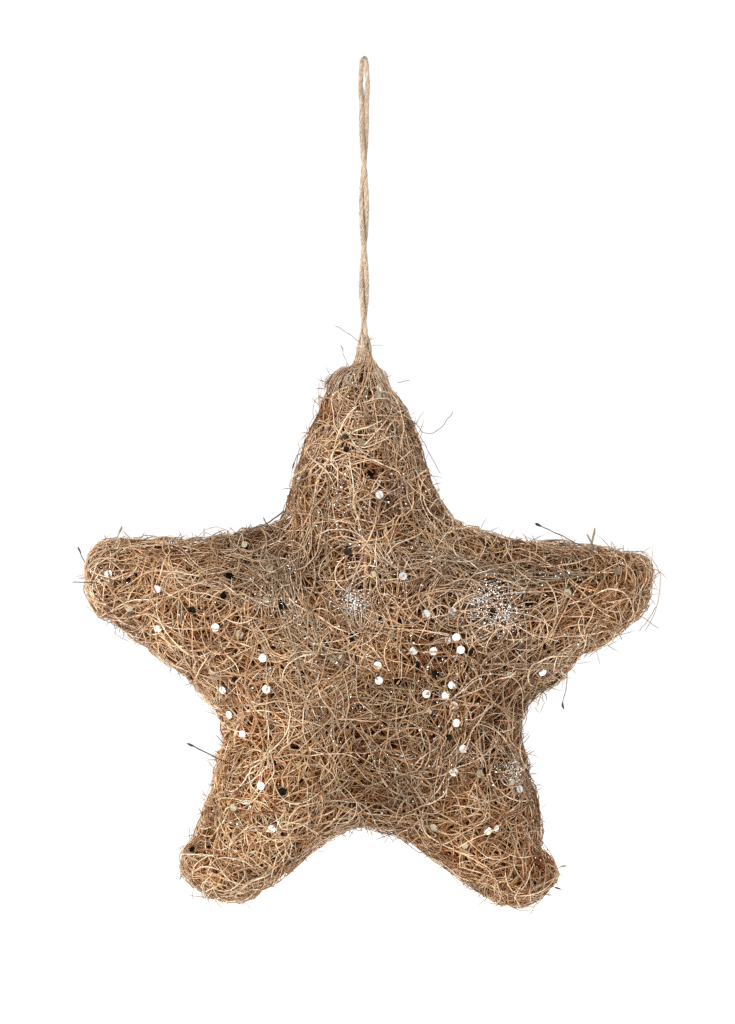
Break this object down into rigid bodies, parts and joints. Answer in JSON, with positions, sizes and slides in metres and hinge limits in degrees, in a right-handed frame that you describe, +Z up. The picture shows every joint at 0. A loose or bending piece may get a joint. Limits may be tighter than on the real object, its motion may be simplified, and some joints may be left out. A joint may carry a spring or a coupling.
{
  "type": "grass star ornament",
  "caption": "Puffy five-armed star of tangled dry grass with glitter and round foil sequins, on a doubled jute hanging loop.",
  "frame": {"origin": "top of the hanging loop, where a hook or twig holds it", "axes": "+Z up along the cord, +X to the star's right-hand side as seen from the front, -Y out of the front"},
  "size_m": [0.2116, 0.058, 0.3156],
  "materials": {
    "grass": "dry tangled grass fibres, matt with a faint straw sheen",
    "jute": "natural two-ply jute twine, slightly hairy",
    "silver_foil": "bright silver foil",
    "champagne_foil": "champagne foil, satin",
    "smoked_foil": "dark smoked foil, glossy"
  },
  "bodies": {
    "root": {"grass_star": "grass", "jute_loop": "jute", "sequin_01": "silver_foil", "sequin_02": "silver_foil", "sequin_03": "silver_foil", "sequin_04": "silver_foil", "sequin_05": "silver_foil", "sequin_06": "silver_foil", "sequin_07": "silver_foil", "sequin_08": "silver_foil", "sequin_09": "silver_foil", "sequin_10": "silver_foil", "sequin_11": "silver_foil", "sequin_12": "silver_foil", "sequin_13": "silver_foil", "sequin_14": "silver_foil", "sequin_15": "silver_foil", "sequin_16": "silver_foil", "sequin_17": "silver_foil", "sequin_18": "silver_foil", "sequin_19": "silver_foil", "sequin_20": "silver_foil", "sequin_21": "silver_foil", "sequin_22": "silver_foil", "sequin_23": "silver_foil", "sequin_24": "silver_foil", "sequin_25": "silver_foil", "sequin_26": "silver_foil", "sequin_27": "silver_foil", "sequin_28": "silver_foil", "sequin_29": "silver_foil", "sequin_30": "silver_foil", "sequin_31": "silver_foil", "sequin_32": "champagne_foil", "sequin_33": "champagne_foil", "sequin_34": "champagne_foil", "sequin_35": "champagne_foil", "sequin_36": "champagne_foil", "sequin_37": "champagne_foil", "sequin_38": "champagne_foil", "sequin_39": "champagne_foil", "sequin_40": "champagne_foil", "sequin_41": "champagne_foil", "sequin_42": "smoked_foil", "sequin_43": "smoked_foil", "sequin_44": "smoked_foil", "sequin_45": "smoked_foil", "sequin_46": "smoked_foil", "sequin_47": "smoked_foil", "sequin_48": "smoked_foil", "sequin_49": "smoked_foil", "sequin_50": "silver_foil", "sequin_51": "champagne_foil", "sequin_52": "smoked_foil", "sequin_53": "silver_foil", "sequin_54": "champagne_foil", "sequin_55": "smoked_foil", "sequin_56": "silver_foil", "sequin_57": "champagne_foil"}
  },
  "joints": []
}
